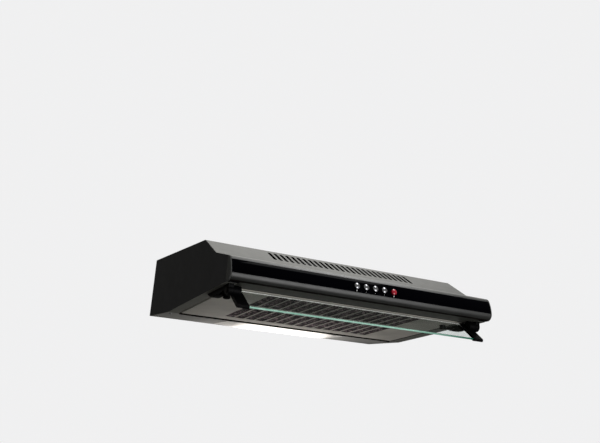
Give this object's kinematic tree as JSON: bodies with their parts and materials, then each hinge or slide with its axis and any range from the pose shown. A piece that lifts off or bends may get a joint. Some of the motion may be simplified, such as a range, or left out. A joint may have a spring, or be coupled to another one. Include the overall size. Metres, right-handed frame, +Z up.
{
  "type": "under cabinet range hood",
  "caption": "Slim 600 mm under-cabinet range hood with a tilting glass visor, hinged filter grille, push buttons, lamp, centrifugal blower and top duct spigot.",
  "frame": {"origin": "centre of the four cabinet screw holes, on the flat top face", "axes": "+X to the right seen from the front, +Y to the rear, +Z up, out of the top face"},
  "size_m": [0.6, 0.4822, 0.1715],
  "materials": {
    "black_paint": "satin",
    "grey_paint": "satin",
    "gloss_black": "high gloss",
    "fascia_black": "gloss",
    "cap_black": "fine texture",
    "black_plastic": "satin",
    "grey_plastic": "matte",
    "white_plastic": "matte",
    "print_white": "printed",
    "chrome": "polished",
    "red_plastic": "gloss",
    "green_glass": "polished",
    "zinc_steel": "zinc plated",
    "filter_fabric": "non-woven",
    "diffuser": "frosted",
    "bulb_glass": "frosted",
    "aluminium": "bright",
    "rubber": "matte"
  },
  "bodies": {
    "hood": {"top_shell": "black_paint", "left_cheek": "black_paint", "right_cheek": "black_paint", "rear_panel": "black_paint", "lamp_panel": "grey_paint", "front_lip_rail": "grey_paint", "front_fascia": "fascia_black", "fascia_strip": "gloss_black", "left_end_cap": "cap_black", "right_end_cap": "cap_black", "button_marks": "print_white", "switch_body": "white_plastic", "switch_bracket": "zinc_steel", "left_visor_bracket": "black_plastic", "right_visor_bracket": "black_plastic", "visor_bracket_screws": "zinc_steel", "grille_hinge_brackets": "grey_plastic", "lamp_diffuser": "diffuser", "lamp_reflector": "aluminium", "lamp_holders": "white_plastic", "lamp_bulbs": "bulb_glass", "blower_scroll": "grey_plastic", "blower_lid": "grey_plastic", "inlet_ring": "grey_plastic", "inlet_guard": "zinc_steel", "motor_body": "aluminium", "motor_screws": "zinc_steel", "blower_bushes": "rubber", "outlet_spigot": "black_plastic", "spigot_screws": "zinc_steel", "flap_pin": "zinc_steel", "terminal_box": "white_plastic", "terminal_box_lid": "white_plastic", "run_capacitor": "white_plastic", "cable_gland": "black_plastic", "cable_gland_nut": "black_plastic", "shell_screws": "zinc_steel"},
    "visor": {"left_visor_arm": "black_plastic", "right_visor_arm": "black_plastic", "visor_glass": "green_glass", "visor_pins": "chrome", "visor_clamp_screws": "zinc_steel"},
    "grille": {"grille_panel": "grey_paint", "filter_mat": "filter_fabric", "filter_wires": "zinc_steel", "grille_hinge_pins": "zinc_steel"},
    "left_latch": {"left_grille_latch": "black_plastic"},
    "right_latch": {"right_grille_latch": "black_plastic"},
    "light_switch": {"light_button": "chrome"},
    "speed_1_switch": {"speed_1_button": "chrome"},
    "speed_2_switch": {"speed_2_button": "chrome"},
    "speed_3_switch": {"speed_3_button": "chrome"},
    "stop_switch": {"stop_button": "red_plastic"},
    "fan": {"motor_shaft": "zinc_steel", "impeller": "aluminium"},
    "front_damper": {"front_flap": "grey_plastic"},
    "rear_damper": {"rear_flap": "grey_plastic"},
    "selector": {"selector_vane": "white_plastic", "selector_knob": "white_plastic"}
  },
  "joints": [
    {"name": "visor_tilt", "type": "hinge", "parent": "hood", "child": "visor", "pos_m": [0, -0.284, -0.11], "axis": [-1, 0, 0], "range_deg": [-8, 34]},
    {"name": "grille_open", "type": "hinge", "parent": "hood", "child": "grille", "pos_m": [0, 0.01382, -0.12492], "axis": [1, 0, 0], "range_deg": [0, 75]},
    {"name": "left_latch_slide", "type": "slide", "parent": "grille", "child": "left_latch", "axis": [0, 0.9947, -0.1028], "range_m": [0, 0.005], "stiffness_N_per_m": 200, "springref_m": -0.002},
    {"name": "right_latch_slide", "type": "slide", "parent": "grille", "child": "right_latch", "axis": [0, 0.9947, -0.1028], "range_m": [0, 0.005], "stiffness_N_per_m": 200, "springref_m": -0.002},
    {"name": "light_press", "type": "slide", "parent": "hood", "child": "light_switch", "axis": [0, 0.9548, -0.2974], "range_m": [0, 0.003], "stiffness_N_per_m": 400, "springref_m": -0.002},
    {"name": "speed_1_press", "type": "slide", "parent": "hood", "child": "speed_1_switch", "axis": [0, 0.9548, -0.2974], "range_m": [0, 0.003], "stiffness_N_per_m": 400, "springref_m": -0.002},
    {"name": "speed_2_press", "type": "slide", "parent": "hood", "child": "speed_2_switch", "axis": [0, 0.9548, -0.2974], "range_m": [0, 0.003], "stiffness_N_per_m": 400, "springref_m": -0.002},
    {"name": "speed_3_press", "type": "slide", "parent": "hood", "child": "speed_3_switch", "axis": [0, 0.9548, -0.2974], "range_m": [0, 0.003], "stiffness_N_per_m": 400, "springref_m": -0.002},
    {"name": "stop_press", "type": "slide", "parent": "hood", "child": "stop_switch", "axis": [0, 0.9548, -0.2974], "range_m": [0, 0.003], "stiffness_N_per_m": 400, "springref_m": -0.002},
    {"name": "fan_spin", "type": "hinge", "parent": "hood", "child": "fan", "pos_m": [-0.085, -0.038, -0.05], "axis": [0, 0, 1], "continuous": true},
    {"name": "front_flap_swing", "type": "hinge", "parent": "hood", "child": "front_damper", "pos_m": [0, 0.088, 0.012], "axis": [-1, 0, 0], "range_deg": [0, 75]},
    {"name": "rear_flap_swing", "type": "hinge", "parent": "hood", "child": "rear_damper", "pos_m": [0, 0.088, 0.012], "axis": [1, 0, 0], "range_deg": [0, 75]},
    {"name": "selector_turn", "type": "hinge", "parent": "hood", "child": "selector", "pos_m": [0.053, 0.018, -0.09], "axis": [0, 0, -1], "range_deg": [0, 60]}
  ]
}
